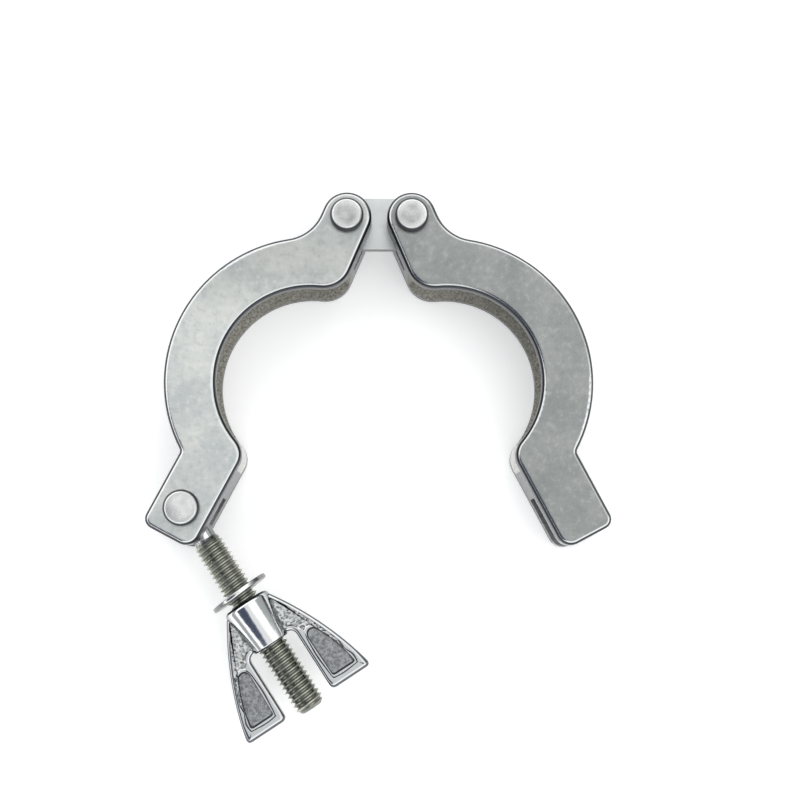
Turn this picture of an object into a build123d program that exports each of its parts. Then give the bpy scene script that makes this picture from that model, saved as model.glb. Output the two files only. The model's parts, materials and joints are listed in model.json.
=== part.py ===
from build123d import *
import math
import os

# KF 25 flange clamp: two hinged jaws, a link plate, a swing bolt and a wing nut.
# Frame: origin on the axis of the flange joint, at mid-thickness of the jaws; +Z along the
# flange axis, +Y towards the link. The jaws stand open; all lengths in millimetres.

# Jaws: ring around the flange pair
seat_radius = 18.0        # lip of the flange groove
rim_radius = 27.85        # outside of the ring
jaw_height = 16.0         # along the flange axis
edge_round = 0.95         # rounding along both broad faces
groove_radius = 22.0      # floor of the groove; a 40 mm flange reaches 20
groove_floor = 8.8        # height of the groove's floor
groove_slope = 15.0       # degrees, the cone of a KF flange

# Link end of each jaw
link_pitch = 12.5         # between the two link pins
link_stand = 4.25         # link pins outside the rim
link_drop = rim_radius + link_stand
lobe_radius = 4.75
heel_radius = 5.5         # where the link end meets the seat
neck_radius = 8.0         # where the link end meets the rim
link_slot_reach = 7.7     # from the pin down to the bottom of the slot

# Lug end of each jaw
lug_pin_x = 12.5          # the lug's cross axis, from the flange axis
lug_stand = 3.85          # the same axis, below the rim
lug_pin_y = rim_radius + lug_stand
lug_width = 10.9
lug_lean = 4.8            # degrees that the closed lugs lean outwards
lug_end = 6.05            # from the cross axis to the end face
bulge_radius = 4.0        # where the lug meets the seat
waist_radius = 1.0        # where the lug meets the rim
inner_corner = 2.8
outer_corner = 2.0
lug_slot_reach = 5.3      # from the cross axis up to the bottom of the slot

# Link plate and pins
plate_thickness = 2.0
plate_width = 10.2
link_pin_radius = 2.2
link_head_radius = 3.2
bolt_pin_radius = 2.5
bolt_head_radius = 3.4
head_height = 1.8
head_bevel = 0.6
rivet_spread = 0.7        # riveted end, flared into the underside

# Swing bolt, M6 x 1
thread_radius = 3.0
bolt_length = 44.9        # pin axis to tip
eye_radius = 5.0
eye_thickness = 5.0
neck_bar_radius = 2.3
neck_length = 7.9         # pin axis to the first turn
tip_bevel = 1.0

# Washer and wing nut, placed along the bolt from the pin axis
washer_radius = 6.0
washer_hole = 3.2
washer_thickness = 0.9
washer_place = 18.6
washer_tilt = 3.7         # degrees, the loose washer leaning on the bolt
nut_place = 21.05
collar_length = 9.5
collar_base_radius = 4.85
collar_end_radius = 3.7
collar_round = 1.1
collar_end_round = 0.3
wing_reach = 23.0         # nut base to the wing ends
wing_span = 14.0          # bolt axis to the wing tips
wing_gap = 5.1            # bolt axis to the inner edges of the wings
wing_bow = 1.1            # rise of the curved outer edge over its chord
wing_thickness = 3.2
wing_corner = 0.9
wing_root = 1.3           # between the wings and the collar's end
wing_sink = 0.1           # start of the wings inside the collar
web_end = 9.1             # nut base to the end of the webs
wing_round = 0.6          # rounding along both faces of the wings
pocket_rim = 1.2
pocket_depth = 0.65
pocket_start = 11.2       # nut base to the pocket
pocket_corner = 1.5

# Fits
running_gap = 0.05        # radial, pins in the link plate and in the eye, nut on the bolt
side_gap = 0.2            # link plate and eye in their slots
fork_gap = 0.4            # bolt in the open fork

# Pose at rest
jaw_opening = 23.1        # each jaw, from closed
bolt_swing = 29.0         # bolt, from square to the lug

mid_height = jaw_height / 2
pin_stand = mid_height + head_height


def jaw_plane(side):
    """Plane of one jaw at rest: origin on its own seat axis, local +X towards the other jaw.

    side is -1 for the jaw at -X and +1 for the one at +X, which is the same casting turned over.
    """
    turn = math.radians(jaw_opening)
    pin_x = link_pitch / 2
    seat_x = -pin_x + pin_x * math.cos(turn) - link_drop * math.sin(turn)
    seat_y = link_drop - pin_x * math.sin(turn) - link_drop * math.cos(turn)
    return Plane(
        origin=(-side * seat_x, seat_y, 0),
        x_dir=(-side * math.cos(turn), -math.sin(turn), 0),
        z_dir=(0, 0, -side),
    )


def lug_plane(jaw):
    """Plane on the lug's cross axis: local +X square out of the inner flank, -Y to the lug's end."""
    lean = math.radians(lug_lean)
    return Plane(
        origin=jaw.from_local_coords(Vector(-lug_pin_x, -lug_pin_y, 0)),
        x_dir=jaw.x_dir * math.cos(lean) - jaw.y_dir * math.sin(lean),
        z_dir=jaw.z_dir,
    )


def jaw_outline():
    """Outline of one jaw: ring, link end and lug, with the blends where they meet."""
    inner_wall = link_pitch / 2 - lobe_radius
    outer_wall = link_pitch / 2 + lobe_radius
    lug = lug_plane(Plane.XY)
    lean = math.radians(lug_lean)
    flank_run = Vector(math.sin(lean), math.cos(lean))
    flank_in = lug.from_local_coords(Vector(lug_width / 2, 0))
    flank_out = lug.from_local_coords(Vector(-lug_width / 2, 0))

    def where_meets(flank, radius):
        along = flank.dot(flank_run)
        return flank - flank_run * (along + math.sqrt(along**2 - flank.dot(flank) + radius**2))

    heel = Vector(-inner_wall, math.sqrt(seat_radius**2 - inner_wall**2))
    neck = Vector(-outer_wall, math.sqrt(rim_radius**2 - outer_wall**2))
    bulge = where_meets(flank_in, seat_radius)
    waist = where_meets(flank_out, rim_radius)
    end_in = lug.from_local_coords(Vector(lug_width / 2, -lug_end))
    end_out = lug.from_local_coords(Vector(-lug_width / 2, -lug_end))
    blends = (
        (heel, heel_radius),
        (neck, neck_radius),
        (bulge, bulge_radius),
        (waist, waist_radius),
        (end_in, inner_corner),
        (end_out, outer_corner),
    )
    with BuildSketch(Plane.XY) as outline:
        with BuildLine():
            lobe_in = (-inner_wall, link_drop)
            lobe_top = (-link_pitch / 2, link_drop + lobe_radius)
            lobe_out = (-outer_wall, link_drop)
            ThreePointArc(lobe_in, lobe_top, lobe_out)
            Line(lobe_out, neck)
            ThreePointArc(neck, (-rim_radius, 0), waist)
            Polyline(waist, end_out, end_in, bulge)
            ThreePointArc(bulge, (-seat_radius, 0), heel)
            Line(heel, lobe_in)
        make_face()
        for corner, radius in blends:
            fillet(outline.vertices().sort_by_distance(corner)[0], radius)
    return outline.sketch


def cast_jaw(side, slot_height):
    """One jaw with its seat groove and the slots for the link plate and for the bolt."""
    jaw = jaw_plane(side)
    profile = Plane(origin=jaw.origin, x_dir=jaw.x_dir, z_dir=-jaw.y_dir)
    slope = math.tan(math.radians(groove_slope))
    mouth_radius = seat_radius - 1
    mouth_half = groove_floor / 2 + (groove_radius - mouth_radius) * slope
    link_slot = plate_thickness + 2 * side_gap
    with BuildPart() as body:
        with BuildSketch(jaw):
            add(jaw_outline())
        extrude(amount=mid_height, both=True)
        fillet(body.faces().filter_by(Plane.XY).edges(), edge_round)
        # Flange groove: a band with sloping sides turned about the seat axis
        with BuildSketch(profile):
            with BuildLine():
                Polyline(
                    (mouth_radius, -mouth_half),
                    (groove_radius, -groove_floor / 2),
                    (groove_radius, groove_floor / 2),
                    (mouth_radius, mouth_half),
                    close=True,
                )
            make_face()
        revolve(axis=Axis(jaw.origin, jaw.z_dir), mode=Mode.SUBTRACT)
        # Slot across the link end
        with BuildSketch(jaw):
            with Locations((-link_pitch / 2, link_drop - link_slot_reach)):
                Rectangle(4 * lobe_radius, 4 * lobe_radius, align=(Align.CENTER, Align.MIN))
        extrude(amount=link_slot / 2, both=True, mode=Mode.SUBTRACT)
        # Slot across the lug, open at its end
        with BuildSketch(lug_plane(jaw)):
            with Locations((0, lug_slot_reach)):
                Rectangle(2 * lug_width, 4 * lug_end, align=(Align.CENTER, Align.MAX))
        extrude(amount=slot_height / 2, both=True, mode=Mode.SUBTRACT)
        # Hole for the link pin
        link_axis = jaw.from_local_coords(Vector(-link_pitch / 2, link_drop, 0))
        add(rivet_bore(link_axis, link_pin_radius), mode=Mode.SUBTRACT)
    return body.part


def rivet_bore(axis_point, radius):
    """Solid that cuts a pin's hole through a jaw, flared at the underside."""
    place = Plane(origin=(axis_point.X, axis_point.Y, 0), x_dir=(1, 0, 0), z_dir=(0, -1, 0))
    with BuildPart() as bore:
        with BuildSketch(place):
            with BuildLine():
                Polyline(
                    (0, -mid_height),
                    (radius + rivet_spread, -mid_height),
                    (radius, -mid_height + rivet_spread),
                    (radius, mid_height),
                    (0, mid_height),
                    close=True,
                )
            make_face()
        revolve(axis=Axis((axis_point.X, axis_point.Y, 0), (0, 0, 1)))
    return bore.part


def rivet_pin(axis_point, radius, head_radius):
    """Headed pin through a jaw, its other end flared flush with the underside."""
    place = Plane(origin=(axis_point.X, axis_point.Y, 0), x_dir=(1, 0, 0), z_dir=(0, -1, 0))
    with BuildPart() as pin:
        with BuildSketch(place):
            with BuildLine():
                Polyline(
                    (0, -mid_height),
                    (radius + rivet_spread, -mid_height),
                    (radius, -mid_height + rivet_spread),
                    (radius, mid_height),
                    (head_radius, mid_height),
                    (head_radius, pin_stand - head_bevel),
                    (head_radius - head_bevel, pin_stand),
                    (0, pin_stand),
                    close=True,
                )
            make_face()
        revolve(axis=Axis((axis_point.X, axis_point.Y, 0), (0, 0, 1)))
    return pin


left_jaw = jaw_plane(-1)
right_jaw = jaw_plane(1)
left_link_axis = left_jaw.from_local_coords(Vector(-link_pitch / 2, link_drop, 0))
right_link_axis = right_jaw.from_local_coords(Vector(-link_pitch / 2, link_drop, 0))
bolt_axis = lug_plane(left_jaw).origin
bolt_plane = lug_plane(left_jaw).rotated((0, 0, -bolt_swing))

# Jaw with the bolt: its slot takes the eye, and its lug carries the bolt pin
with BuildPart() as left_arm:
    add(cast_jaw(-1, eye_thickness + 2 * side_gap))
    add(rivet_bore(bolt_axis, bolt_pin_radius), mode=Mode.SUBTRACT)

# Jaw with the open fork: its slot takes the bolt
with BuildPart() as right_arm:
    add(cast_jaw(1, 2 * (thread_radius + fork_gap)))

# Link plate between the two link pins, running in the slots of both jaws
with BuildPart() as link_plate:
    with BuildSketch(Plane.XY):
        with Locations((0, link_drop)):
            SlotCenterToCenter(link_pitch, plate_width)
            with GridLocations(link_pitch, 0, 2, 1):
                Circle(link_pin_radius + running_gap, mode=Mode.SUBTRACT)
    extrude(amount=plate_thickness / 2, both=True)

left_link_pin = rivet_pin(left_link_axis, link_pin_radius, link_head_radius)
right_link_pin = rivet_pin(right_link_axis, link_pin_radius, link_head_radius)
bolt_pin = rivet_pin(bolt_axis, bolt_pin_radius, bolt_head_radius)

# Swing bolt: flat eye, plain neck and the threaded bar at its major diameter
bar_section = Plane(origin=bolt_plane.origin, x_dir=bolt_plane.x_dir, z_dir=-bolt_plane.y_dir)
with BuildPart() as swing_bolt:
    with BuildSketch(bar_section):
        with BuildLine():
            Polyline(
                (0, 0),
                (0, neck_bar_radius),
                (neck_length - tip_bevel, neck_bar_radius),
                (neck_length, thread_radius),
                (bolt_length - tip_bevel, thread_radius),
                (bolt_length, thread_radius - tip_bevel),
                (bolt_length, 0),
                close=True,
            )
        make_face()
    revolve(axis=Axis(bolt_plane.origin, bolt_plane.x_dir))
    with BuildSketch(bolt_plane):
        Circle(eye_radius)
    extrude(amount=eye_thickness / 2, both=True)
    with BuildSketch(bolt_plane):
        Circle(bolt_pin_radius + running_gap)
    extrude(amount=eye_thickness, both=True, mode=Mode.SUBTRACT)

# Washer, loose on the bolt
washer_centre = bolt_plane.from_local_coords(Vector(washer_place, 0, 0))
washer_plane = Plane(
    origin=washer_centre,
    x_dir=bolt_plane.z_dir,
    z_dir=bolt_plane.x_dir.rotate(Axis.Z, washer_tilt),
)
with BuildPart() as washer:
    with BuildSketch(washer_plane):
        Circle(washer_radius)
        Circle(washer_hole, mode=Mode.SUBTRACT)
    extrude(amount=washer_thickness)

# Wing nut: coned collar and two wings with a pocket in each face
nut_plane = Plane(
    origin=bolt_plane.from_local_coords(Vector(nut_place, 0, 0)),
    x_dir=bolt_plane.x_dir,
    z_dir=bolt_plane.z_dir,
)
collar_plane = Plane(origin=nut_plane.origin, x_dir=bolt_plane.x_dir, z_dir=-bolt_plane.y_dir)
bore_plane = Plane(origin=nut_plane.origin, x_dir=bolt_plane.y_dir, z_dir=bolt_plane.x_dir)
wing_start = Vector(collar_round, collar_base_radius - wing_sink)
wing_tip = Vector(wing_reach, wing_span)
wing_rise = (wing_tip - wing_start).rotate(Axis.Z, 90).normalized()
wing_crown = (wing_start + wing_tip) * 0.5 + wing_rise * wing_bow
wing_floor = collar_end_radius / 2
with BuildSketch(Plane.XY) as wing:
    with BuildLine():
        ThreePointArc(wing_start, wing_crown, wing_tip)
        Polyline(
            wing_tip,
            (wing_reach, wing_gap),
            (web_end, wing_gap),
            (web_end, wing_floor),
            (collar_round, wing_floor),
            wing_start,
        )
    make_face()
    fillet(wing.vertices().group_by(Axis.X)[-1], wing_corner)
    fillet(wing.vertices().sort_by_distance((web_end, wing_gap))[0], wing_root)
with BuildSketch(Plane.XY) as pocket:
    add(wing.sketch)
    offset(amount=-pocket_rim, kind=Kind.INTERSECTION)
    with Locations((pocket_start, 0)):
        Rectangle(wing_reach, 2 * wing_span, align=(Align.MIN, Align.CENTER), mode=Mode.INTERSECT)
    fillet(pocket.vertices().group_by(Axis.X)[0], pocket_corner)

with BuildPart() as wing_nut:
    with BuildSketch(nut_plane):
        add(wing.sketch)
        mirror(about=Plane.XZ)
    extrude(amount=wing_thickness / 2, both=True)
    fillet(wing_nut.faces().filter_by(nut_plane).edges(), wing_round)
    with BuildSketch(nut_plane.offset(wing_thickness / 2 - pocket_depth)):
        add(pocket.sketch)
        mirror(about=Plane.XZ)
    extrude(amount=wing_thickness, mode=Mode.SUBTRACT)
    with BuildSketch(nut_plane.offset(pocket_depth - wing_thickness / 2)):
        add(pocket.sketch)
        mirror(about=Plane.XZ)
    extrude(amount=-wing_thickness, mode=Mode.SUBTRACT)
    with BuildSketch(collar_plane) as collar:
        with BuildLine():
            Polyline(
                (0, 0),
                (0, collar_base_radius),
                (collar_length, collar_end_radius),
                (collar_length, 0),
                close=True,
            )
        make_face()
        fillet(collar.vertices().sort_by_distance((0, collar_base_radius))[0], collar_round)
        fillet(collar.vertices().sort_by_distance((collar_length, collar_end_radius))[0], collar_end_round)
    revolve(axis=Axis(nut_plane.origin, nut_plane.x_dir))
    with BuildSketch(bore_plane):
        Circle(thread_radius + running_gap)
    extrude(amount=wing_reach, mode=Mode.SUBTRACT)

left_arm.part.label = "left_arm"
right_arm.part.label = "right_arm"
link_plate.part.label = "link_plate"
left_link_pin.part.label = "left_link_pin"
right_link_pin.part.label = "right_link_pin"
bolt_pin.part.label = "bolt_pin"
swing_bolt.part.label = "swing_bolt"
washer.part.label = "washer"
wing_nut.part.label = "wing_nut"

os.makedirs("parts", exist_ok=True)
export_step(left_arm.part, "parts/left_arm.step")
export_step(right_arm.part, "parts/right_arm.step")
export_step(link_plate.part, "parts/link_plate.step")
export_step(left_link_pin.part, "parts/left_link_pin.step")
export_step(right_link_pin.part, "parts/right_link_pin.step")
export_step(bolt_pin.part, "parts/bolt_pin.step")
export_step(swing_bolt.part, "parts/swing_bolt.step")
export_step(washer.part, "parts/washer.step")
export_step(wing_nut.part, "parts/wing_nut.step")
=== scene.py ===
import json
import math

import bmesh
import bpy
import numpy as np
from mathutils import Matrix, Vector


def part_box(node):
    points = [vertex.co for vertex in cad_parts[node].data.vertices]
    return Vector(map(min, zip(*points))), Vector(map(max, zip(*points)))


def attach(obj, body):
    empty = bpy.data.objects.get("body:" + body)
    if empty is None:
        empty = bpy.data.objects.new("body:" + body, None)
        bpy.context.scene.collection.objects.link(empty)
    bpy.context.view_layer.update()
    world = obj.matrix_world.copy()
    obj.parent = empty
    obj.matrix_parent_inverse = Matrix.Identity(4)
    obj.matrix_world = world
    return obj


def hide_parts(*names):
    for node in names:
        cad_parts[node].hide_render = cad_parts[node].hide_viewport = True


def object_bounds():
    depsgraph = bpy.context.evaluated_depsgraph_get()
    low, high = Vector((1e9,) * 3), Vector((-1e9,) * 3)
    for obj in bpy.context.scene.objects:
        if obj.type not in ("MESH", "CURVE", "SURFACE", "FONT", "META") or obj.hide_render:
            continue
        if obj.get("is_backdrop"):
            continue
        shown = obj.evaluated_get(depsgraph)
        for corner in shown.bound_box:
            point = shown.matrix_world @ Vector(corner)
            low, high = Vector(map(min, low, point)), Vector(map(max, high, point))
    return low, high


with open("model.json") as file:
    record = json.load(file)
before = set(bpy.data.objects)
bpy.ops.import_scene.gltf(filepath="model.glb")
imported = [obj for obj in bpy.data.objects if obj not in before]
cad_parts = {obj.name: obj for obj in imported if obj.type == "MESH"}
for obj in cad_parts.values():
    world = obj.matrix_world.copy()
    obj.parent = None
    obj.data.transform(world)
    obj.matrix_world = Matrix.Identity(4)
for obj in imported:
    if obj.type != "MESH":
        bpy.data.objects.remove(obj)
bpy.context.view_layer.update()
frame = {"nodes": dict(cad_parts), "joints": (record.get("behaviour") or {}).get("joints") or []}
print("frame loaded:", ", ".join(sorted(frame["nodes"])))

scene = bpy.context.scene
joints = {joint["name"]: joint for joint in frame["joints"]}
mm = 0.001

# Axes of the bolt
boltPin = np.array(joints["bolt_hinge"]["pos_m"]) / mm
along = np.array(joints["washer_travel"]["axis"])  # unit vector from the pin to the tip
up = np.array([0.0, 0.0, 1.0])
across = np.cross(up, along)  # level, square to the bolt


# Mesh helpers
def gridFaces(rows, columns, closed=False):
    # Quads of a rows x columns grid of points, the column index wrapped where each row is a closed loop.
    r = np.arange(rows - 1)
    c = np.arange(columns if closed else columns - 1)
    r, c = np.meshgrid(r, c, indexing="ij")
    here, beyond, cNext = r * columns, (r + 1) * columns, (c + 1) % columns
    return np.stack([here + c, beyond + c, beyond + cNext, here + cNext], -1).reshape(-1, 4)


def makePiece(name, shells, body, material, stands=(), smooth=40):
    # One object from point grids in millimetres: shells is a list of (points, faces, masks).
    # Doubles are merged, so that seams and poles close, and all faces are turned outwards.
    mergeWithin = 2e-6  # metres
    points = np.concatenate([shell[0].reshape(-1, 3) for shell in shells])
    starts = np.cumsum([0] + [shell[0].reshape(-1, 3).shape[0] for shell in shells[:-1]])
    faces = np.concatenate([shell[1] + start for shell, start in zip(shells, starts)])
    mesh = bpy.data.meshes.new(name)
    mesh.from_pydata((points * mm).tolist(), [], faces.tolist())
    for mask in shells[0][2]:
        layer = mesh.attributes.new(mask, "FLOAT", "POINT")
        layer.data.foreach_set("value", np.concatenate([shell[2][mask].ravel() for shell in shells]))
    work = bmesh.new()
    work.from_mesh(mesh)
    bmesh.ops.remove_doubles(work, verts=work.verts, dist=mergeWithin)
    bmesh.ops.dissolve_degenerate(work, edges=work.edges, dist=mergeWithin / 2)
    bmesh.ops.recalc_face_normals(work, faces=work.faces)
    work.to_mesh(mesh)
    work.free()
    mesh.shade_smooth()
    mesh.set_sharp_from_angle(angle=math.radians(smooth))
    piece = bpy.data.objects.new(name, mesh)
    scene.collection.objects.link(piece)
    mesh.materials.append(material)
    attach(piece, body)
    if stands:
        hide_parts(*stands)
    print(name, "made:", len(mesh.polygons), "faces")


def turned(profile, centre, axis, side, steps=96):
    # Surface of revolution: each profile point (along, radius) is swept round the axis through centre.
    # Its two parameters are the place along the profile and the angle from the side direction.
    a, r = np.asarray(profile, float).T
    angle = np.arange(steps) * 2 * math.pi / steps
    third = np.cross(axis, side)
    ring = np.cos(angle)[:, None] * side + np.sin(angle)[:, None] * third
    points = centre + a[:, None, None] * axis + r[:, None, None] * ring[None]
    return points, gridFaces(len(a), steps, closed=True)


def roundedProfile(corners, radii, steps=6):
    # Corner points with each corner swapped for a curve that starts and ends radius from it.
    # The curve is a weighted mean of its start, the corner and its end.
    corners = np.asarray(corners, float)
    t = np.linspace(0, 1, steps)[:, None]
    pull = 1.414  # weight of the corner that makes a square corner's curve a quarter circle
    runs = []
    for k, radius in enumerate(radii):
        here, before, after = corners[k], corners[k - 1], corners[(k + 1) % len(corners)]
        if radius == 0:
            runs.append(here[None])
            continue
        start = here + (before - here) * radius / np.linalg.norm(before - here)
        end = here + (after - here) * radius / np.linalg.norm(after - here)
        weight = (1 - t) ** 2 + t**2 + pull * t * (1 - t)
        runs.append(((1 - t) ** 2 * start + pull * t * (1 - t) * here + t**2 * end) / weight)
    return np.concatenate(runs)


def closedRing(corners, radii, steps=6):
    # A rounded profile that ends where it began, as for a ring with a hole.
    profile = roundedProfile(corners, radii, steps)
    return np.concatenate([profile, profile[:1]])


def smoothStep(x, low, high):
    # 0 below low, 1 above high, and a cubic between them that is level at both ends.
    t = np.clip((x - low) / (high - low), 0, 1)
    return t * t * (3 - 2 * t)


# Material helpers
class Nodes:
    # Short way to write a node tree: each call adds a node and links what is given to it.

    def __init__(self, name):
        self.material = bpy.data.materials.new(name)
        self.material.use_nodes = True
        self.tree = self.material.node_tree
        self.shader = self.tree.nodes["Principled BSDF"]
        where = self.add("ShaderNodeTexCoord").outputs
        self.coords, self.normal = where["Object"], where["Normal"]

    def add(self, kind, links=None, **settings):
        node = self.tree.nodes.new(kind)
        for key, value in settings.items():
            setattr(node, key, value)
        for socket, value in (links or {}).items():
            self.put(node.inputs[socket], value)
        return node

    def put(self, socket, value):
        if isinstance(value, bpy.types.NodeSocket):
            self.tree.links.new(value, socket)
        else:
            socket.default_value = value

    def noise(self, scale, detail=3.0, rough=0.5, stretch=None):
        where = self.coords
        if stretch:
            where = self.add("ShaderNodeMapping", {"Vector": where, "Scale": stretch}).outputs[0]
        links = {"Vector": where, "Scale": scale, "Detail": detail, "Roughness": rough}
        return self.add("ShaderNodeTexNoise", links).outputs["Fac"]

    def cells(self, scale, where):
        links = {"Vector": where, "Scale": scale}
        return self.add("ShaderNodeTexVoronoi", links, feature="SMOOTH_F1").outputs["Distance"]

    def ramp(self, value, low, high, toLow=0.0, toHigh=1.0):
        links = {"Value": value, "From Min": low, "From Max": high, "To Min": toLow, "To Max": toHigh}
        return self.add("ShaderNodeMapRange", links, interpolation_type="SMOOTHSTEP").outputs["Result"]

    def zone(self, value, edges):
        # 0 at the first edge and 1 at the second, both in millimetres.
        return self.ramp(value, edges[0] * mm, edges[1] * mm)

    def math(self, operation, first, second=0.0):
        return self.add("ShaderNodeMath", {0: first, 1: second}, operation=operation).outputs[0]

    def both(self, first, second):
        return self.math("MULTIPLY", first, second)

    def opposite(self, value):
        return self.math("SUBTRACT", 1.0, value)

    def upright(self):
        # 1 where the surface lies level, 0 where it stands.
        return self.math("ABSOLUTE", self.add("ShaderNodeSeparateXYZ", {0: self.normal}).outputs["Z"])

    def facing(self, direction):
        # How far the surface faces along a direction, which may change from point to point.
        links = {0: self.normal, 1: direction}
        return self.add("ShaderNodeVectorMath", links, operation="DOT_PRODUCT").outputs["Value"]

    def distance(self, where, keep):
        # Length of a vector after its parts are multiplied by keep, as (1, 1, 0) for a level distance.
        kept = self.add("ShaderNodeVectorMath", {0: where, 1: keep}, operation="MULTIPLY").outputs[0]
        return self.add("ShaderNodeVectorMath", {0: kept}, operation="LENGTH").outputs["Value"]

    def blend(self, share, first, second):
        # Colours mixed by a share from 0 to 1.
        node = self.add("ShaderNodeMix", data_type="RGBA")
        self.put(node.inputs[0], share)
        self.put(node.inputs[6], first)
        self.put(node.inputs[7], second)
        return node.outputs[2]

    def number(self, share, first, second):
        # Values mixed by a share from 0 to 1.
        node = self.add("ShaderNodeMix", data_type="FLOAT")
        self.put(node.inputs[0], share)
        self.put(node.inputs[2], first)
        self.put(node.inputs[3], second)
        return node.outputs[0]

    def attribute(self, name):
        return self.add("ShaderNodeAttribute", attribute_name=name).outputs["Fac"]

    def bump(self, height, strength, distance, under=None):
        links = {"Height": height, "Strength": strength, "Distance": distance}
        if under is not None:
            links["Normal"] = under
        return self.add("ShaderNodeBump", links).outputs["Normal"]

    def finish(self, **values):
        for name, value in values.items():
            self.put(self.shader.inputs[name], value)
        return self.material


# Jaws: blasted cast steel
jaw = {  # millimetres; each pair is where a mask is 0 and where it is 1
    "face": (7.00, 7.10),  # height of the edge rounding's start
    "brow": (6.90, 7.30),  # height of the rounding's outer half, painted dark as shade
    "inside": (6.60, 6.30),  # height of the groove and the slots
    "lip": (5.20, 5.50),  # height of the groove's lips, whose inner walls are painted dark as shade
    "backIn": (21.5, 21.8),  # radius of the groove's far wall, from its near side
    "backOut": (22.4, 22.1),  # and from behind it
    "backHeight": (5.0, 4.7),  # height of that wall's ends
    "marks": (18.60, 18.25),  # radius of the groove slope's edge by the lip, painted dark as shade like the lips
    "runOut": (-9.0, -12.0),  # place along Y where the groove ends
    "shaded": (9.0, 25.0),  # place along Y where the jaw is painted darker towards the link, as shade
    "inner": (0.0, -6.0),  # facing times distance, for walls that face the flange axis, painted darker still as shade
}
jawUpright = {  # the same, for how level the surface lies, from 0 to 1
    "level": (0.975, 0.99),
    "edge": (0.96, 0.992),
    "wall": (0.80, 0.90),
    "slope": (0.90, 0.95),
}


def castSteel(name, look):
    # Fine blasted stainless steel: polished along the edge rounding, sand-cast in the groove.
    # Each mask comes from the place on the jaw and from the way the surface faces.
    n = Nodes(name)
    place = n.add("ShaderNodeSeparateXYZ", {0: n.coords}).outputs
    height = n.math("ABSOLUTE", place["Z"])
    away = n.distance(n.coords, (1, 1, 0))
    upright = n.upright()
    level = n.ramp(upright, *jawUpright["level"])
    edge = n.both(n.zone(height, jaw["face"]), n.opposite(n.ramp(upright, *jawUpright["edge"])))
    wall = n.opposite(n.ramp(upright, *jawUpright["wall"]))
    brow = n.both(wall, n.zone(height, jaw["brow"]))
    inside = n.zone(height, jaw["inside"])
    slope = n.both(n.ramp(upright, *jawUpright["slope"]), n.opposite(level))
    slope = n.both(inside, slope)
    slot = n.both(inside, level)
    back = n.both(n.zone(away, jaw["backIn"]), n.zone(away, jaw["backOut"]))
    back = n.both(back, n.both(wall, n.zone(height, jaw["backHeight"])))
    groove = n.math("MAXIMUM", slope, back)
    inner = n.zone(n.facing(n.coords), jaw["inner"])
    lip = n.both(n.zone(height, jaw["lip"]), inner)

    cloud = n.noise(*look["cloud"])
    grain = n.noise(*look["grain"])
    mottle = n.noise(*look["mottle"])
    tone = n.blend(n.ramp(cloud, 0.34, 0.66), look["dark"], look["light"])
    specks = n.both(n.ramp(mottle, 0.52, 0.66), look["specks"])
    tone = n.blend(specks, tone, look["speckTone"])
    smut = n.both(n.opposite(n.ramp(mottle, 0.34, 0.48)), look["smut"])
    tone = n.blend(smut, tone, look["smutTone"])
    # Painted shade: the jaw darkens towards the link.
    linkShade = n.both(n.zone(place["Y"], jaw["shaded"]), look["shaded"])
    tone = n.blend(linkShade, tone, (0.0, 0.0, 0.0, 1))
    tone = n.blend(n.both(edge, look["polish"]), tone, look["polished"])
    blast, sandy = n.noise(*look["blast"]), n.noise(*look["sand"])
    # Standing walls are painted darker than the top as shade, with the blast's random tone over it;
    # walls that face the flange axis get deeper painted shade.
    side = n.blend(n.ramp(blast, 0.3, 0.7), look["wallDark"], look["wallLight"])
    side = n.blend(inner, side, look["innerWall"])
    # The lips' inner walls are painted dark as shade.
    tone = n.blend(wall, tone, n.blend(lip, side, look["lip"]))
    # The rounding's outer half is painted dark as shade, an outline round the jaw.
    tone = n.blend(brow, tone, look["brow"])
    sand = n.blend(n.ramp(sandy, 0.32, 0.68), look["castDark"], look["castLight"])
    sand = n.blend(n.zone(place["Y"], jaw["runOut"]), sand, look["castPale"])
    # The groove slope's edge by the lip is painted dark as shade.
    sand = n.blend(n.zone(away, jaw["marks"]), sand, look["lip"])
    tone = n.blend(groove, tone, sand)
    # Slot floors are painted darker as shade in the recess.
    tone = n.blend(slot, tone, look["slot"])

    satin = n.ramp(grain, 0.3, 0.7, look["roughness"] - 0.05, look["roughness"] + 0.07)
    satin = n.number(edge, satin, look["edgeRoughness"])
    satin = n.number(groove, satin, look["castRoughness"])
    grainBump = n.bump(grain, 0.25, look["grainDepth"])
    dentShare = n.number(groove, 0.05, 0.8)
    dents = n.bump(n.noise(*look["dents"]), dentShare, look["dentDepth"], grainBump)
    return n.finish(**{"Base Color": tone, "Metallic": 1.0, "Roughness": satin, "Normal": dents})


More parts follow.
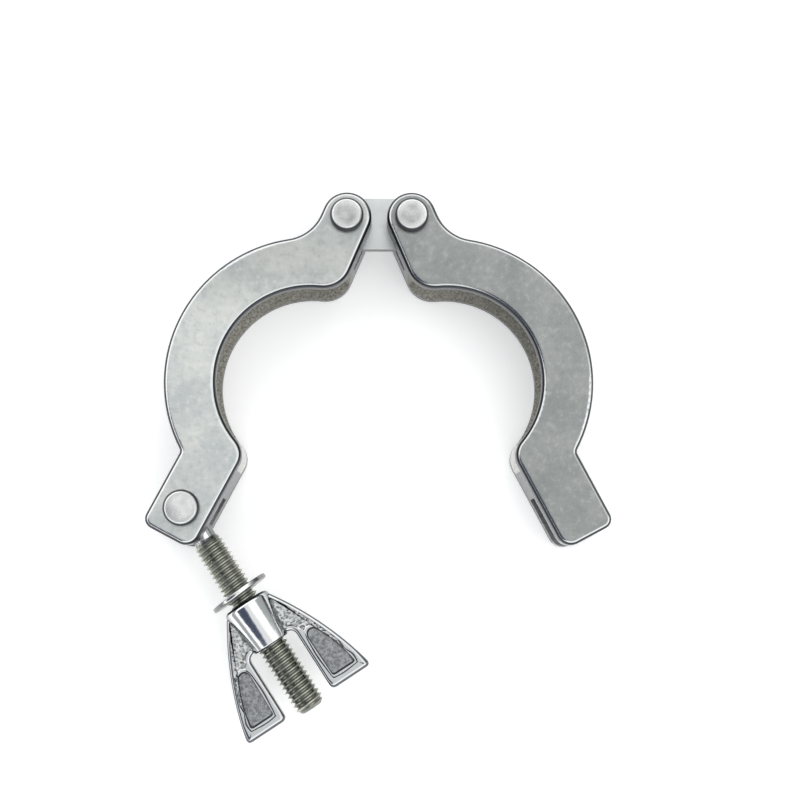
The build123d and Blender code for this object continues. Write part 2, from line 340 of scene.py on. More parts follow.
leftJawLook = {
    "dark": (0.58, 0.615, 0.615, 1),
    "light": (0.74, 0.755, 0.73, 1),
    "speckTone": (0.84, 0.85, 0.83, 1),
    "specks": 0.45,
    "smutTone": (0.40, 0.425, 0.425, 1),
    "smut": 0.28,
    "polished": (0.62, 0.63, 0.635, 1),
    "polish": 0.85,
    # walls: painted shade with the blast's tone; inner walls: deeper painted shade
    "wallDark": (0.27, 0.275, 0.28, 1),
    "wallLight": (0.38, 0.385, 0.39, 1),
    "innerWall": (0.19, 0.195, 0.205, 1),
    # lip: painted shade on the groove's lips and on the slope's edge beside them
    "lip": (0.10, 0.10, 0.10, 1),
    # brow: painted shade on the rounding's outer half
    "brow": (0.07, 0.075, 0.082, 1),
    "castDark": (0.20, 0.19, 0.16, 1),
    "castLight": (0.46, 0.45, 0.41, 1),
    "castPale": (0.90, 0.90, 0.88, 1),
    # slot: painted shade in the slots
    "slot": (0.34, 0.345, 0.35, 1),
    # how far the jaw is painted darker towards the link, as shade
    "shaded": 0.27,
    "roughness": 0.32,
    "edgeRoughness": 0.16,
    "castRoughness": 0.6,
    "cloud": (110, 5, 0.65),  # noises: waves a metre, detail, roughness
    "grain": (1500, 3, 0.7),
    "mottle": (760, 4, 0.65),
    "blast": (900, 4, 0.7),
    "sand": (2600, 4, 0.7),
    "dents": (1400, 4, 0.7),
    "grainDepth": 0.00006,  # metres
    "dentDepth": 0.0002,
}
# The right jaw is the same steel with darker tones: painted shade over the whole jaw.
rightJawShadedLook = {
    **leftJawLook,
    "dark": (0.28, 0.295, 0.292, 1),
    "light": (0.34, 0.353, 0.345, 1),
    "speckTone": (0.50, 0.51, 0.50, 1),
    "specks": 0.35,
    "smutTone": (0.22, 0.235, 0.235, 1),
    "smut": 0.35,
    "shaded": 0.0,
}


def dress(node, material):
    # Swap a CAD node's material, leaving its mesh alone.
    mesh = frame["nodes"][node].data
    mesh.materials.clear()
    mesh.materials.append(material)


dress("left_arm", castSteel("leftJawSteel", leftJawLook))
dress("right_arm", castSteel("rightJawShadedSteel", rightJawShadedLook))
print("jaws dressed")


# Link plate and pins
def turnedSteel(name, centre, look):
    # Bright steel with faint turning rings about a point: rings are a wave of the distance from it.
    # The face is a shallow dome, its height falling with the square of that distance.
    n = Nodes(name)
    shift = tuple(-value for value in centre)
    local = n.add("ShaderNodeMapping", {"Vector": n.coords, "Location": shift}).outputs[0]
    away = n.distance(local, (1, 1, 0))
    rings = n.math("SINE", n.both(away, look["rings"]))
    cloud = n.noise(240, 4, 0.6)

    def nearRim(insets):
        # 0 to 1 between two distances in from the head's edge.
        return n.zone(away, [look["headRadius"] - inset for inset in insets])

    face = n.blend(n.ramp(cloud, 0.3, 0.7), look["dark"], look["light"])
    face = n.blend(n.both(nearRim(look["rimInsets"]), look["rimShare"]), face, look["rim"])
    # The bevel ring is a painted highlight, and the head's side beyond it is painted shade.
    bevel = nearRim(look["bevelInsets"])
    tone = n.blend(bevel, face, look["bevel"])
    tone = n.blend(nearRim(look["wallInsets"]), tone, look["wall"])
    shine = n.ramp(cloud, 0.3, 0.7, look["roughness"], look["roughness"] + 0.08)
    shine = n.number(bevel, shine, look["bevelRoughness"])
    dome = n.bump(n.both(n.both(away, away), -look["dome"]), 1.0, 1.0)
    fine = n.bump(rings, 0.20, 0.00002, dome)
    marks = n.bump(n.noise(700, 3, 0.6), 0.25, 0.00005, fine)
    return n.finish(**{"Base Color": tone, "Metallic": 1.0, "Roughness": shine, "Normal": marks})


linkPinLook = {
    "dark": (0.36, 0.37, 0.37, 1),
    "light": (0.62, 0.63, 0.62, 1),
    "rim": (0.80, 0.81, 0.80, 1),
    # bevel: painted highlight; wall: painted shade on the head's side
    "bevel": (0.95, 0.96, 0.97, 1),
    "wall": (0.09, 0.093, 0.098, 1),
    "rimShare": 0.5,
    "rimInsets": (1.80, 0.70),  # millimetres in from the head's edge
    "bevelInsets": (0.66, 0.60),
    "wallInsets": (0.45, 0.30),
    "roughness": 0.22,
    "bevelRoughness": 0.5,
    "rings": 22000.0,  # turning rings, radians a metre
    "dome": 12.0,
}
boltPinLook = {
    **linkPinLook,
    "dark": (0.72, 0.73, 0.72, 1),
    "light": (0.97, 0.97, 0.96, 1),
    "rim": (0.55, 0.56, 0.56, 1),
}
pinLooks = {"left_link_pin": linkPinLook, "right_link_pin": linkPinLook, "bolt_pin": boltPinLook}
for node, pinLook in pinLooks.items():
    low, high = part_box(node)
    ownLook = {**pinLook, "headRadius": (high.x - low.x) / 2 / mm}
    dress(node, turnedSteel(node + "Steel", (low + high) / 2, ownLook))


def rolledSteel(name, look):
    # Smooth rolled sheet: fine streaks along X in tone and gloss, its cut edges painted dark as shade.
    n = Nodes(name)
    cut = n.opposite(n.ramp(n.upright(), 0.4, 0.8))
    streaks = n.noise(900, 3, 0.6, stretch=(0.06, 1, 1))
    cloud = n.noise(160, 3, 0.5)
    tone = n.blend(n.ramp(cloud, 0.3, 0.7), look["dark"], look["light"])
    # The cut edges are painted dark as shade.
    tone = n.blend(cut, tone, look["cut"])
    shine = n.ramp(streaks, 0.3, 0.7, look["roughness"] - 0.04, look["roughness"] + 0.06)
    fine = n.bump(streaks, 0.15, 0.00003)
    return n.finish(**{"Base Color": tone, "Metallic": 1.0, "Roughness": shine, "Normal": fine})


plateLook = {
    "dark": (0.58, 0.60, 0.605, 1),
    "light": (0.69, 0.705, 0.71, 1),
    # cut: painted shade on the cut edges
    "cut": (0.19, 0.19, 0.195, 1),
    "roughness": 0.3,
}
dress("link_plate", rolledSteel("plateSteel", plateLook))
print("link plate and pins dressed")


# Swing bolt
bolt = {  # millimetres; places are along the bolt from the pin's axis
    "eyeRadius": 5.0,
    "eyeHole": 2.55,
    "eyeHalf": 2.5,
    "eyeRounds": (0.25, 0.25, 0.5, 0.5),
    "neckStart": 4.2,
    "neckRadius": 2.25,
    "neckInto": 0.3,  # how far the neck runs on inside the thread
    "threadStart": 6.9,
    "startSlope": 0.5,  # rise of the cone that the thread starts on
    "tip": 44.9,
    "tipBevel": 1.0,
    "pitch": 1.0,
    "crest": 2.98,
    "root": 2.39,
    "flankAt": (0.0, 0.125, 0.4375, 0.5625, 0.875, 1.0),  # share of a pitch where root and crest end
    "rows": (0.0, 0.06, 0.125, 0.28, 0.40, 0.4375, 0.5, 0.5625, 0.60, 0.72, 0.875, 0.94, 1.0),
    "stepsRound": 56,
}


def threadRibbon(shape):
    # Right-hand thread as a ribbon wound round the bolt.
    # The ribbon's two parameters are the turn angle and the place across one pitch. The radius across
    # one pitch climbs from the root to the flat crest and back. It is capped by a cone at each end.
    root, crest = shape["root"], shape["crest"]
    place = np.array(shape["rows"])
    radius = np.interp(place, shape["flankAt"], [root, root, crest, crest, root, root])
    steps = shape["stepsRound"]
    length = shape["tip"] - shape["threadStart"]
    turns = int(math.ceil(length / shape["pitch"])) + 2
    count = np.arange(turns * steps + 1)
    angle = count * 2 * math.pi / steps
    start = shape["threadStart"] - shape["pitch"] + count / steps * shape["pitch"]
    s = np.clip(start[:, None] + place[None] * shape["pitch"], shape["threadStart"], shape["tip"])
    lowCone = shape["neckRadius"] + (s - shape["threadStart"]) * shape["startSlope"]
    topCone = crest - np.clip(s - (shape["tip"] - shape["tipBevel"]), 0, None)
    r = np.minimum(np.minimum(radius[None], lowCone), topCone)
    ring = np.cos(angle)[:, None, None] * across + np.sin(angle)[:, None, None] * np.cross(along, across)
    points = boltPin + s[..., None] * along + r[..., None] * ring
    return points, gridFaces(len(count), len(place))


def steelThread(name, look):
    # Rolled thread: bright crests over roots painted dark as shade, told apart by the distance from the
    # bolt axis.
    n = Nodes(name)
    heading = math.atan2(along[1], along[0])
    fromPin = {0: n.coords, 1: tuple(-boltPin * mm)}
    shift = n.add("ShaderNodeVectorMath", fromPin, operation="ADD").outputs[0]
    local = n.add("ShaderNodeMapping", {"Vector": shift, "Rotation": (0, 0, -heading)}).outputs[0]
    away = n.distance(local, (0, 1, 1))
    threaded = n.zone(n.add("ShaderNodeSeparateXYZ", {0: local}).outputs["X"], look["threadedFrom"])
    crest = n.zone(away, look["crestFrom"])
    # Painted shade in the thread's roots.
    shaded = n.blend(n.noise(700, 3, 0.6), look["rootDark"], look["rootLight"])
    tone = n.blend(crest, shaded, look["crest"])
    # The neck and eye are painted bright where they lie level and dark where they stand: painted
    # highlight and painted shade.
    neck = n.blend(n.ramp(n.upright(), 0.5, 0.85), look["neckSide"], look["neck"])
    tone = n.blend(threaded, neck, tone)
    shine = n.number(threaded, look["neckRoughness"], n.ramp(n.noise(500, 3, 0.6), 0.3, 0.7, 0.24, 0.4))
    fine = n.bump(n.noise(900, 3, 0.6), 0.2, 0.00004)
    return n.finish(**{"Base Color": tone, "Metallic": 1.0, "Roughness": shine, "Normal": fine})


threadLook = {
    # root tones: painted shade
    "rootDark": (0.20, 0.205, 0.18, 1),
    "rootLight": (0.34, 0.345, 0.30, 1),
    "crest": (0.62, 0.63, 0.56, 1),
    # neck: painted highlight on level faces; neckSide: painted shade on standing faces
    "neck": (0.84, 0.85, 0.86, 1),
    "neckSide": (0.22, 0.225, 0.23, 1),
    "neckRoughness": 0.14,
    "threadedFrom": (6.8, 7.6),  # millimetres along the bolt
    "crestFrom": (2.45, 2.95),  # millimetres from its axis
}
boltSteel = steelThread("boltSteel", threadLook)
eyeCorners = [
    (-bolt["eyeHalf"], bolt["eyeHole"]),
    (bolt["eyeHalf"], bolt["eyeHole"]),
    (bolt["eyeHalf"], bolt["eyeRadius"]),
    (-bolt["eyeHalf"], bolt["eyeRadius"]),
]
eyeProfile = closedRing(eyeCorners, bolt["eyeRounds"])
neckEnd = bolt["threadStart"] + bolt["neckInto"]
neckProfile = [(bolt["neckStart"], 0.0), (bolt["neckStart"], bolt["neckRadius"])]
neckProfile += [(neckEnd, bolt["neckRadius"]), (neckEnd, 0.0)]
eyeShell = (*turned(eyeProfile, boltPin, up, along), {})
neckShell = (*turned(neckProfile, boltPin, along, up), {})
makePiece("boltEye", [eyeShell], "bolt", boltSteel)
makePiece("boltNeck", [neckShell], "bolt", boltSteel)
tipCap = [(bolt["tip"], bolt["crest"] - bolt["tipBevel"]), (bolt["tip"], 0.0)]
startCap = [(bolt["threadStart"], 0.0), (bolt["threadStart"], bolt["neckRadius"])]
threadShells = [(*threadRibbon(bolt), {})]
for cap in (tipCap, startCap):
    threadShells.append((*turned(cap, boltPin, along, across, bolt["stepsRound"]), {}))
makePiece("boltThread", threadShells, "bolt", boltSteel, stands=["swing_bolt"], smooth=32)


# Washer
washer = {
    "place": 18.6,
    "tilt": 3.7,  # degrees
    "thickness": 0.9,
    "radius": 6.0,
    "hole": 3.2,
    "rounds": (0.12, 0.2, 0.3, 0.2),
}
washerCentre = boltPin + washer["place"] * along
lean = math.radians(washer["tilt"])
washerAxis = math.cos(lean) * along + math.sin(lean) * across  # the loose washer leans on the bolt
washerCorners = [
    (0.0, washer["hole"]),
    (washer["thickness"], washer["hole"]),
    (washer["thickness"], washer["radius"]),
    (0.0, washer["radius"]),
]
washerProfile = closedRing(washerCorners, washer["rounds"])


def platedSteel(name, look):
    # Bright plating over a soft uneven ground, painted dark as shade where it stands rather than lies
    # level.
    n = Nodes(name)
    cloud = n.noise(300, 4, 0.6)
    tone = n.blend(n.ramp(cloud, 0.3, 0.7), look["dark"], look["light"])
    # The standing faces are painted dark as shade.
    tone = n.blend(n.opposite(n.ramp(n.upright(), 0.72, 0.92)), tone, look["side"])
    shine = n.ramp(cloud, 0.3, 0.7, look["roughness"], look["roughness"] + 0.08)
    fine = n.bump(n.noise(520, 3, 0.6), 0.3, 0.00005)
    return n.finish(**{"Base Color": tone, "Metallic": 1.0, "Roughness": shine, "Normal": fine})


washerLook = {
    "dark": (0.76, 0.76, 0.74, 1),
    "light": (0.92, 0.92, 0.90, 1),
    # side: painted shade where the washer stands
    "side": (0.25, 0.25, 0.25, 1),
    "roughness": 0.18,
}
washerShell = (*turned(washerProfile, washerCentre, washerAxis, up), {})
washerSteel = platedSteel("washerSteel", washerLook)
makePiece("washerDisc", [washerShell], "washer", washerSteel, stands=["washer"])


# Wing nut
nut = {  # millimetres; lengths are along the bolt from the nut's base
    "place": 21.05,
    "collarLength": 9.5,
    "baseRadius": 4.85,
    "endRadius": 3.7,
    "bore": 3.05,
    "collarRounds": (0.35, 1.05, 0.35, 0.25),
    "webStart": (1.0, 4.7),
    "webEnd": 9.1,
    "archRadius": 1.3,
    "reach": 22.97,
    "span": 13.93,
    "gap": 5.1,
    "bow": 1.1,
    "half": 1.6,
    "round": 0.6,
    "tipRound": 0.35,  # added to the edge rounding at the tip
    "corner": 0.9,
    "rimSide": 1.35,
    "rimEnd": 2.0,
    "pocketStart": 11.2,
    "pocketFloor": 0.90,  # size of the pocket's floor against its brim
    "pocketDepth": 0.65,
    "webDepth": 0.3,
    "webFromBrim": (0.22, 0.5),  # where the hollow of the web starts, from the brim
    "webFromEdge": (0.28, 0.55),  # and from the edge rounding
    "broad": (2.0, 3.0),  # width of rim, and of broad web
    "seamDepth": 0.16,
    "seamFrom": (0.28, 0.40),  # the seam's two sides, from the brim
    "seamTo": (0.46, 0.62),
    "tipShade": (0.30, 0.55),  # how far round the edge rounding the tip is painted dark as shade
    "runPoints": (120, 60, 120, 90),  # points along the outer edge, the end, the inner edge, the arch
    "tipRoom": 12,  # points of the outer edge that the rounded tip takes up
    "outlineSoft": 4,  # reach of the softening, in points
    "brimSoft": 12,
    "rows": (9, 5, 30, 6),  # rows over the pocket's floor, its wall, the web or rim, the edge rounding
    "tipFrom": (100, 122),  # places round the outline, counted in points
    "tipTo": (178, 200),
    "archFrom": (285, 300),
    "archTo": (345, 375),
    "collarFrom": (318, 330),
}


nutMasks = ("web", "pocket", "seamShade", "rim")  # where the casting is hammered, sandy, painted dark as shade, and wing


def evenly(points, count):
    # A run of points resampled to count points evenly spaced along it, its last point left out.
    points = np.asarray(points, float)
    steps = np.linalg.norm(np.diff(points, axis=0), axis=1)
    distance = np.concatenate([[0], np.cumsum(steps)])
    at = np.linspace(0, distance[-1], count, endpoint=False)
    return np.stack([np.interp(at, distance, points[:, k]) for k in range(points.shape[1])], -1)


def softened(loop, reach):
    # A closed loop with its corners softened: each point becomes a bell-weighted mean of its neighbours.
    offsets = np.arange(-reach, reach + 1)
    weights = np.cos(offsets / (reach + 1) * math.pi / 2) ** 2
    weights = weights / weights.sum()
    return sum(weight * np.roll(loop, -offset, axis=0) for offset, weight in zip(offsets, weights))


def bowed(start, end, rise, count=80):
    # A shallow arc between two points: the chord plus a parabola of the given rise, to its left.
    t = np.linspace(0, 1, count)[:, None]
    chord = np.subtract(end, start)
    left = np.array([-chord[1], chord[0]]) / np.linalg.norm(chord)
    return np.asarray(start) + t * chord + 4 * rise * t * (1 - t) * left


def wingShell(shape, side):
    # One wing of the nut.
    # Its two parameters are the place round the outline and the place from the pocket's middle out over
    # the rim, down the side wall and back to the middle underneath. Nested closed loops carry the form:
    # pocket middle, pocket floor, brim of the pocket, start of the edge rounding, outline. The lines
    # from brim to outline are straight, and curve to arrive square where the outline rounds the arch.
    counts = shape["runPoints"]
    floorRows, wallRows, webRows, edgeRows = shape["rows"]
    brimRow = floorRows + wallRows
    edgeRow = brimRow + webRows
    half, web, gap, arm = shape["half"], shape["webEnd"], shape["gap"], shape["archRadius"]

    # Outline, anticlockwise from the collar
    start, tip = shape["webStart"], (shape["reach"], shape["span"])
    quarter = np.linspace(0, math.pi / 2, 14)
    arch = np.stack([web + arm * (1 - np.sin(quarter)), gap - arm * (1 - np.cos(quarter))], -1)
    tuck = [(web - 0.6, 3.3), (4.0, 4.0), (1.0, 4.3), start]  # back to the start just inside the collar
    outer = bowed(start, tip, shape["bow"])
    trimmed = outer[: -shape["tipRoom"]]
    perCorner = 9
    ends = [outer[-shape["tipRoom"]], tip, (shape["reach"], gap), arch[0]]
    ends = roundedProfile(ends, [0, shape["corner"], shape["corner"], 0], perCorner)
    firstMiddle = perCorner // 2 + 1  # the runs meet in the middle of the two rounded corners
    lastMiddle = firstMiddle + perCorner
    sides = [
        [*trimmed, *ends[: firstMiddle + 1]],
        ends[firstMiddle : lastMiddle + 1],
        ends[lastMiddle:],
        [*arch, *tuck],
    ]
    outline = np.concatenate([evenly(run, count) for run, count in zip(sides, counts)])
    outline = softened(outline, shape["outlineSoft"])

    # Brim of the pocket in the same four runs, its corners about one rim's width in from the outline
    rim, top, last = shape["rimSide"], shape["pocketStart"], shape["reach"] - shape["rimEnd"]
    outerStart = (top + 0.7, np.interp(top + 0.7, *outer.T) - rim * 1.05)
    outerEnd = (last, np.interp(last, *outer.T) - rim * 1.25)
    innerEnd = (last, gap + rim * 1.15)
    innerStart = (top + 0.8, gap + rim)
    crown = [(top - 0.1, innerStart[1] + 0.3), (top - 0.5, innerStart[1] + 1.0)]
    crown += [(top - 0.3, outerStart[1] - 0.6)]
    ring = [bowed(outerStart, outerEnd, 0.4), [outerEnd, innerEnd], [innerEnd, innerStart]]
    ring += [[innerStart, *crown, outerStart]]
    brim = np.concatenate([evenly(run, count) for run, count in zip(ring, counts)])
    brim = softened(brim, shape["brimSoft"])
    centre = brim.mean(0) * np.ones_like(brim)
    floor = centre + (brim - centre) * shape["pocketFloor"]

    # Start of the edge rounding, set in square to the outline
    tangent = np.roll(outline, -1, axis=0) - np.roll(outline, 1, axis=0)
    inward = np.stack([tangent[:, 1], -tangent[:, 0]], -1)
    inward = inward / np.linalg.norm(inward, axis=1, keepdims=True)
    rounds = np.arange(sum(counts))
    atTip = smoothStep(rounds, *shape["tipFrom"]) * (1 - smoothStep(rounds, *shape["tipTo"]))
    nearArch = smoothStep(rounds, *shape["archFrom"]) * (1 - smoothStep(rounds, *shape["archTo"]))
    byCollar = smoothStep(rounds, *shape["collarFrom"])  # here the web runs on into the collar
    roundHere = shape["round"] + shape["tipRound"] * atTip
    shoulder = outline + inward * roundHere[:, None]

    # Level lines from brim to shoulder: a curve pulled towards a middle point
    chord = shoulder - brim
    apart = np.linalg.norm(chord, axis=1)
    square = shoulder + inward * np.minimum(apart * 0.5, 1.6)[:, None]
    middle = brim + chord / 2 + nearArch[:, None] * (square - brim - chord / 2)

    def steps(count):
        return np.linspace(0, 1, count, endpoint=False)[:, None, None]

    out = steps(webRows)
    plan = [
        centre + steps(floorRows) * (floor - centre),
        floor + steps(wallRows) * (brim - floor),
        (1 - out) ** 2 * brim + 2 * out * (1 - out) * middle + out**2 * shoulder,
    ]
    plan = np.concatenate(plan)

    # Height above the wing's mid-plane
    level = np.full(plan.shape[:2], half)
    level[:floorRows] -= shape["pocketDepth"]
    level[floorRows:brimRow] -= shape["pocketDepth"] * (1 - smoothStep(steps(wallRows)[..., 0], 0, 1))
    fromBrim = out[..., 0] * apart
    fromShoulder = (1 - out[..., 0]) * apart
    bed = np.maximum(byCollar, smoothStep(fromShoulder, *shape["webFromEdge"]))
    bed = bed * smoothStep(fromBrim, *shape["webFromBrim"])
    wide = smoothStep(apart, *shape["broad"])  # 1 on the broad web beside the collar, 0 by the pocket
    crease = smoothStep(fromBrim, *shape["seamFrom"]) * (1 - smoothStep(fromBrim, *shape["seamTo"]))
    crease = crease * (1 - wide)
    hollow = bed * wide
    level[brimRow:] -= shape["seamDepth"] * crease + shape["webDepth"] * hollow
    roll = np.linspace(0, math.pi / 2, edgeRows)[:, None]
    edge = shoulder + (outline - shoulder) * np.sin(roll)[..., None]
    edgeLevel = half - roundHere * (1 - np.cos(roll)) - shape["webDepth"] * byCollar * np.cos(roll)
    plan = np.concatenate([plan, edge])
    level = np.concatenate([level, edgeLevel])

    masks = {key: np.zeros_like(level) for key in nutMasks}
    masks["web"][brimRow:edgeRow] = hollow
    masks["web"][edgeRow:] = byCollar
    masks["pocket"][: floorRows + 2] = 1
    # The pocket wall, the web's crease and the tip's edge are painted dark as shade.
    masks["seamShade"][floorRows + 1 : brimRow] = 1
    masks["seamShade"][brimRow:edgeRow] = crease
    masks["seamShade"][edgeRow:] = atTip * smoothStep(np.sin(roll), *shape["tipShade"])
    masks["rim"][:] = 1

    # The underside is the same, mirrored
    masks = {key: np.concatenate([mask, mask[::-1]]) for key, mask in masks.items()}
    plan = np.concatenate([plan, plan[::-1]])
    level = np.concatenate([level, -level[::-1]])
    points = boltPin + (shape["place"] + plan[..., :1]) * along
    points = points + side * plan[..., 1:] * across + level[..., None] * up
    return points, gridFaces(plan.shape[0], plan.shape[1], closed=True), masks


def collarShell(shape):
    # The nut's collar: a cone turned about the bolt, its edges rounded, bored through.
    # Its two parameters are the place along the profile and the angle round the bolt.
    corners = [
        (0.0, shape["bore"]),
        (0.0, shape["baseRadius"]),
        (shape["collarLength"], shape["endRadius"]),
        (shape["collarLength"], shape["bore"]),
    ]
    profile = closedRing(corners, shape["collarRounds"], 9) + np.array([shape["place"], 0.0])
    points, faces = turned(profile, boltPin, along, up, 128)
    return points, faces, {key: np.zeros(points.shape[:2]) for key in nutMasks}


def castNut(name, look):
    # Plated casting: mirror-bright collar and rims, hammered webs, and sandy pocket floors.
    n = Nodes(name)
    web, pocket, seamShade, rim = (n.attribute(mask) for mask in nutMasks)
    collar = n.opposite(rim)
    upright = n.upright()
    wall = n.both(rim, n.opposite(n.ramp(upright, *look["wallUpright"])))
    flank = n.both(collar, n.opposite(n.ramp(upright, *look["flankUpright"])))
    endwise = n.math("ABSOLUTE", n.facing(tuple(along)))
    brow = n.both(collar, n.ramp(endwise, *look["browFacing"]))
    warpLinks = {"Vector": n.coords, "Scale": look["warp"], "Detail": 2.0}
    warp = n.add("ShaderNodeTexNoise", warpLinks).outputs["Color"]
    bend = {0: warp, 1: look["dimpleBend"], 2: n.coords}
    bent = n.add("ShaderNodeVectorMath", bend, operation="MULTIPLY_ADD").outputs[0]
    dimples = n.cells(look["dimples"], bent)
    sandy = n.noise(*look["sand"])

    webTone = n.blend(n.ramp(dimples, 0.15, 0.55), look["webDark"], look["webLight"])
    tone = n.blend(web, n.blend(rim, look["collar"], look["bright"]), webTone)
    # The collar's standing sides are painted dark as shade.
    tone = n.blend(flank, tone, look["flank"])
    floorTone = n.blend(n.ramp(sandy, 0.35, 0.65), look["floorDark"], look["floorLight"])
    tone = n.blend(pocket, tone, floorTone)
    # Pocket walls, creases and the tip's edge: painted shade.
    tone = n.blend(n.both(seamShade, 0.85), tone, look["seamShade"])
    # The wings' standing walls are painted dark as shade.
    tone = n.blend(wall, tone, look["wall"])
    # The collar's ends are painted dark as shade, an outline round it.
    tone = n.blend(brow, tone, look["brow"])

    shine = n.number(web, look["roughness"], look["webRoughness"])
    shine = n.number(pocket, shine, look["floorRoughness"])
    hammered = n.bump(dimples, web, look["dimpleDepth"])
    wavy = n.bump(n.noise(*look["wave"]), n.both(collar, 0.35), look["waveDepth"], hammered)
    grit = n.bump(sandy, n.math("ADD", n.both(pocket, 0.9), 0.02), look["sandDepth"], wavy)
    return n.finish(**{"Base Color": tone, "Metallic": 1.0, "Roughness": shine, "Normal": grit})


nutLook = {
    "collar": (0.80, 0.81, 0.82, 1),
    # flank: painted shade on the collar's standing sides
    "flank": (0.30, 0.33, 0.32, 1),
    "bright": (0.62, 0.635, 0.65, 1),
    "webDark": (0.34, 0.35, 0.355, 1),
    "webLight": (0.54, 0.55, 0.55, 1),
    "floorDark": (0.19, 0.195, 0.205, 1),
    "floorLight": (0.40, 0.41, 0.42, 1),
    # painted shade on pocket walls, creases and the tip's edge
    "seamShade": (0.14, 0.145, 0.16, 1),
    # wall: painted shade on the wings' walls
    "wall": (0.13, 0.135, 0.145, 1),
    # brow: painted shade on the collar's ends
    "brow": (0.07, 0.075, 0.085, 1),
    "roughness": 0.13,
    "webRoughness": 0.30,
    "floorRoughness": 0.45,
    "wallUpright": (0.62, 0.86),  # how level the surface lies where a wall ends and a face starts
    "flankUpright": (0.40, 0.68),
    "browFacing": (0.35, 0.6),  # how far the collar's ends face along the bolt
    "warp": 900.0,  # waves a metre
    "dimples": 1450.0,
    "sand": (1700, 4, 0.7),  # noises: waves a metre, detail, roughness
    "wave": (420, 2, 0.5),
    "dimpleBend": (0.0010, 0.0010, 0.0010),  # metres that the dimples are shifted by
    "dimpleDepth": 0.0006,
    "waveDepth": 0.0001,
    "sandDepth": 0.00012,
}
nutShells = [wingShell(nut, 1), wingShell(nut, -1), collarShell(nut)]
nutSteel = castNut("nutSteel", nutLook)
makePiece("nutCasting", nutShells, "nut", nutSteel, stands=["wing_nut"], smooth=50)


# Floor, light and camera
floorLook = {
    "half": 30,  # metres
    "below": 0.00005,  # metres under the jaws
    "dark": (0.90, 0.90, 0.90, 1),
    "light": (0.92, 0.92, 0.92, 1),
    "cloud": (8, 3, 0.5),  # noise: waves a metre, detail, roughness
    "roughness": 0.9,
    "gloss": 0.1,
    "glow": 0.35,  # light from below softens the shadow
}


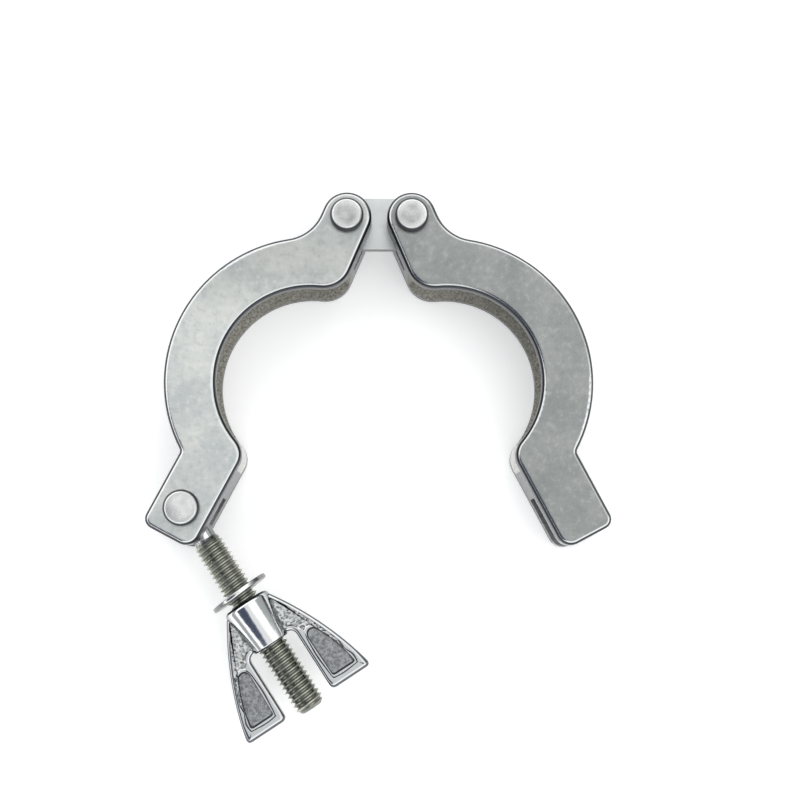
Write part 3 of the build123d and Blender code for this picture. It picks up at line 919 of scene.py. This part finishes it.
def makeFloor(look):
    # Plain pale floor just under the jaws.
    low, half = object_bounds()[0].z - look["below"], look["half"]
    mesh = bpy.data.meshes.new("floor")
    corners = [(-half, -half, low), (half, -half, low), (half, half, low), (-half, half, low)]
    mesh.from_pydata(corners, [], [(0, 1, 2, 3)])
    floor = bpy.data.objects.new("floor", mesh)
    scene.collection.objects.link(floor)
    n = Nodes("floorPaper")
    tone = n.blend(n.noise(*look["cloud"]), look["dark"], look["light"])
    paper = {"Base Color": tone, "Roughness": look["roughness"], "Specular IOR Level": look["gloss"]}
    glow = {"Emission Color": (1, 1, 1, 1), "Emission Strength": look["glow"]}
    mesh.materials.append(n.finish(**paper, **glow))
    floor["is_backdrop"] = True


def makeWorld(look):
    # Soft room: its tone is a curve of the height above the horizon, from a dim skirting through a
    # bright band all round to a calmer ceiling, with soft round patches mixed over it.
    world = bpy.data.worlds.new("softRoom")
    scene.world = world
    world.use_nodes = True
    tree = world.node_tree
    ground = tree.nodes["Background"]
    way = tree.nodes.new("ShaderNodeTexCoord").outputs["Generated"]

    def toward(direction, near, far):
        # 1 within near degrees of the direction, falling to 0 at far degrees.
        unit = np.array(direction) / np.linalg.norm(direction)
        dot = tree.nodes.new("ShaderNodeVectorMath")
        dot.operation = "DOT_PRODUCT"
        tree.links.new(way, dot.inputs[0])
        dot.inputs[1].default_value = tuple(unit)
        fall = tree.nodes.new("ShaderNodeMapRange")
        fall.interpolation_type = "SMOOTHSTEP"
        tree.links.new(dot.outputs["Value"], fall.inputs["Value"])
        fall.inputs["From Min"].default_value = math.cos(math.radians(far))
        fall.inputs["From Max"].default_value = math.cos(math.radians(near))
        return fall.outputs["Result"]

    split = tree.nodes.new("ShaderNodeSeparateXYZ")
    tree.links.new(way, split.inputs[0])
    bands = tree.nodes.new("ShaderNodeValToRGB")
    tree.links.new(split.outputs["Z"], bands.inputs[0])
    stops = bands.color_ramp.elements
    for stop, (elevation, tone) in zip(stops[:], look["bands"]):
        stop.position, stop.color = math.sin(math.radians(elevation)), tone
    for elevation, tone in look["bands"][2:]:
        stops.new(math.sin(math.radians(elevation))).color = tone
    tone = bands.outputs["Color"]
    for patch in look["patches"]:
        mix = tree.nodes.new("ShaderNodeMix")
        mix.data_type = "RGBA"
        tree.links.new(toward(patch["towards"], patch["near"], patch["far"]), mix.inputs[0])
        tree.links.new(tone, mix.inputs[6])
        mix.inputs[7].default_value = patch["tone"]
        tone = mix.outputs[2]
    # The camera itself sees an even pale room.
    seen = tree.nodes.new("ShaderNodeMix")
    seen.data_type = "RGBA"
    tree.links.new(tree.nodes.new("ShaderNodeLightPath").outputs["Is Camera Ray"], seen.inputs[0])
    tree.links.new(tone, seen.inputs[6])
    seen.inputs[7].default_value = look["seenAs"]
    tree.links.new(seen.outputs[2], ground.inputs["Color"])
    ground.inputs["Strength"].default_value = look["strength"]


roomLook = {
    "strength": 1.0,
    "seenAs": (0.95, 0.955, 0.96, 1),
    "bands": [  # degrees above the horizon and the tone there
        (0, (0.40, 0.41, 0.42, 1)),
        (18, (0.42, 0.43, 0.44, 1)),
        (29, (1.65, 1.66, 1.66, 1)),
        (52, (1.65, 1.66, 1.66, 1)),
        (66, (0.90, 0.91, 0.905, 1)),
        (90, (0.90, 0.91, 0.905, 1)),
    ],
    "patches": [  # full within near degrees of the direction, gone at far degrees
        {"towards": (0.354, 0.231, 0.906), "near": 14, "far": 22, "tone": (1.30, 1.30, 1.29, 1)},
        {"towards": (0.725, 0.473, 0.500), "near": 11, "far": 19, "tone": (0.42, 0.45, 0.43, 1)},
        {"towards": (-0.456, -0.297, 0.839), "near": 19, "far": 25, "tone": (0.07, 0.085, 0.13, 1)},
    ],
}
makeFloor(floorLook)
makeWorld(roomLook)

cameraLook = {
    "place": (-0.582, -38.243, 296.571),  # millimetres
    "turn": (0.1193, -0.0159, 0.0004),  # radians
    "lens": 68.94,
    "sensor": 36,
    "clip": (0.01, 50),  # metres
}
lensData = bpy.data.cameras.new("camera")
lensData.lens = cameraLook["lens"]
lensData.sensor_width = cameraLook["sensor"]
lensData.clip_start, lensData.clip_end = cameraLook["clip"]
camera = bpy.data.objects.new("camera", lensData)
camera.location = np.array(cameraLook["place"]) * mm
camera.rotation_euler = cameraLook["turn"]
scene.collection.objects.link(camera)
scene.camera = camera
scene.view_settings.view_transform = "Standard"
print("floor, light and camera set")
